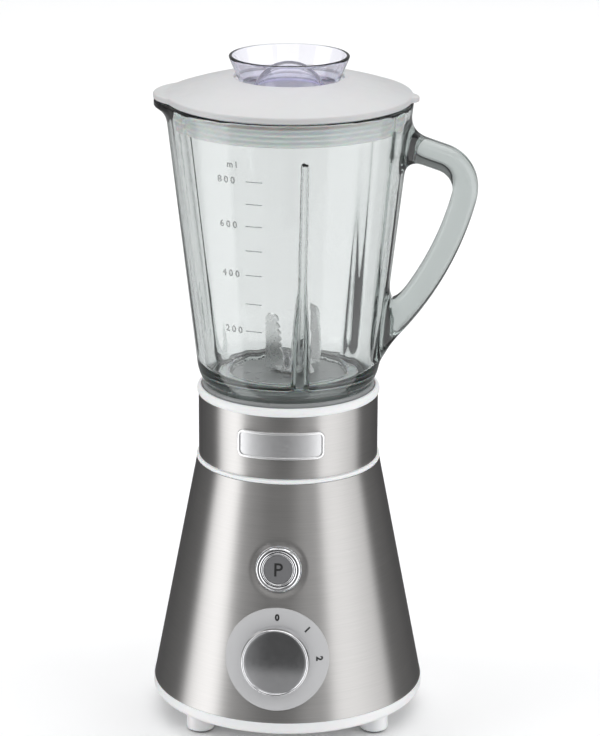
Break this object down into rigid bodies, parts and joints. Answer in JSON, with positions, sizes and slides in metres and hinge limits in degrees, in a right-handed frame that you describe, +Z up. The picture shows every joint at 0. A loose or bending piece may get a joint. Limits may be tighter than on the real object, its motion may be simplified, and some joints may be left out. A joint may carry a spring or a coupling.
{
  "type": "countertop blender",
  "caption": "Countertop blender: conical brushed-steel motor base with speed knob and pulse button, clear glass jug with handle and spout, lid and measuring cap.",
  "frame": {"origin": "point on the drive axis in the plane of the foot pads' soles", "axes": "+Z up along the drive axis, -Y to the front with the knob, +X to the jug's handle, -X to its spout"},
  "size_m": [0.1643, 0.1461, 0.3453],
  "materials": {
    "white_plastic": "satin white moulding",
    "brushed_steel": "fine horizontal brushing",
    "chrome": "bright polished",
    "satin_silver": "satin silver",
    "grey_plastic": "fine matt dark grey",
    "ivory_plastic": "matt ivory",
    "glass": "clear pressed glass, faint green at the edges",
    "clear_plastic": "clear moulded plastic, faint violet at the rim",
    "seal_rubber": "translucent white rubber",
    "black_rubber": "matt",
    "blade_steel": "polished stainless, ground edges",
    "steel": "bright turned steel",
    "laminated_steel": "stacked laminations",
    "copper": "enamelled winding",
    "bronze": "sintered",
    "carbon": "carbon",
    "die_cast": "as cast"
  },
  "bodies": {
    "base": {"bottom_cover": "white_plastic", "base_skirt": "brushed_steel", "mid_ring": "white_plastic", "collar_band": "brushed_steel", "jug_seat": "white_plastic", "inner_housing": "white_plastic", "cord_gland": "black_rubber", "terminal_block": "ivory_plastic", "cover_screws": "steel", "badge_plate": "satin_silver", "dial_plate": "satin_silver", "pulse_bezel": "chrome", "pulse_spring": "steel", "pulse_switch": "grey_plastic", "rotary_switch": "grey_plastic", "stator_core": "laminated_steel", "field_coils": "copper", "upper_bracket": "die_cast", "lower_bracket": "die_cast", "upper_bearing": "bronze", "lower_bearing": "bronze", "brush_holders": "bronze", "carbon_brushes": "carbon", "rubber_mounts": "black_rubber", "mount_screws": "steel", "motor_screws": "steel", "foot_1": "white_plastic", "foot_2": "white_plastic", "foot_3": "white_plastic", "foot_4": "white_plastic", "foot_pad_1": "black_rubber", "foot_pad_2": "black_rubber", "foot_pad_3": "black_rubber", "foot_pad_4": "black_rubber"},
    "motor_rotor": {"motor_shaft": "steel", "rotor_core": "laminated_steel", "rotor_windings": "copper", "commutator": "copper", "cooling_fan": "ivory_plastic", "drive_coupling": "black_rubber"},
    "pulse": {"pulse_button": "chrome", "pulse_insert": "grey_plastic"},
    "knob": {"knob_rim": "chrome", "knob_face": "chrome", "switch_shaft": "steel"},
    "jug": {"jug_glass": "glass", "blade_base": "white_plastic", "jug_gasket": "seal_rubber", "blade_bush": "bronze"},
    "blades": {"blade_shaft": "steel", "blade_washer": "steel", "lower_blade": "blade_steel", "upper_blade": "blade_steel", "blade_nut": "steel", "driven_coupling": "grey_plastic"},
    "lid": {"lid_plate": "white_plastic", "lid_chimney": "white_plastic", "lid_seal": "seal_rubber"},
    "cap": {"cap": "clear_plastic"}
  },
  "joints": [
    {"name": "motor_spin", "type": "hinge", "parent": "base", "child": "motor_rotor", "pos_m": [0, 0, 0.097], "axis": [0, 0, 1], "continuous": true},
    {"name": "pulse_press", "type": "slide", "parent": "base", "child": "pulse", "axis": [0, 0.9822, -0.1879], "range_m": [0, 0.0025], "stiffness_N_per_m": 300, "springref_m": -0.002, "deforming": ["pulse_spring"]},
    {"name": "knob_turn", "type": "hinge", "parent": "base", "child": "knob", "pos_m": [0, -0.06342, 0.0498], "axis": [0, 0.9822, -0.1879], "range_deg": [0, 90]},
    {"name": "jug_lift", "type": "slide", "parent": "base", "child": "jug", "axis": [0, 0, 1], "range_m": [0, 0.06]},
    {"name": "blade_spin", "type": "hinge", "parent": "jug", "child": "blades", "pos_m": [0, 0, 0.177], "axis": [0, 0, 1], "continuous": true},
    {"name": "lid_lift", "type": "slide", "parent": "jug", "child": "lid", "axis": [0, 0, 1], "range_m": [0, 0.04]},
    {"name": "cap_lift", "type": "slide", "parent": "lid", "child": "cap", "axis": [0, 0, 1], "range_m": [0, 0.04]}
  ],
  "couplings": [
    {"joint": "blade_spin", "follows": "motor_spin", "ratio": 1}
  ]
}
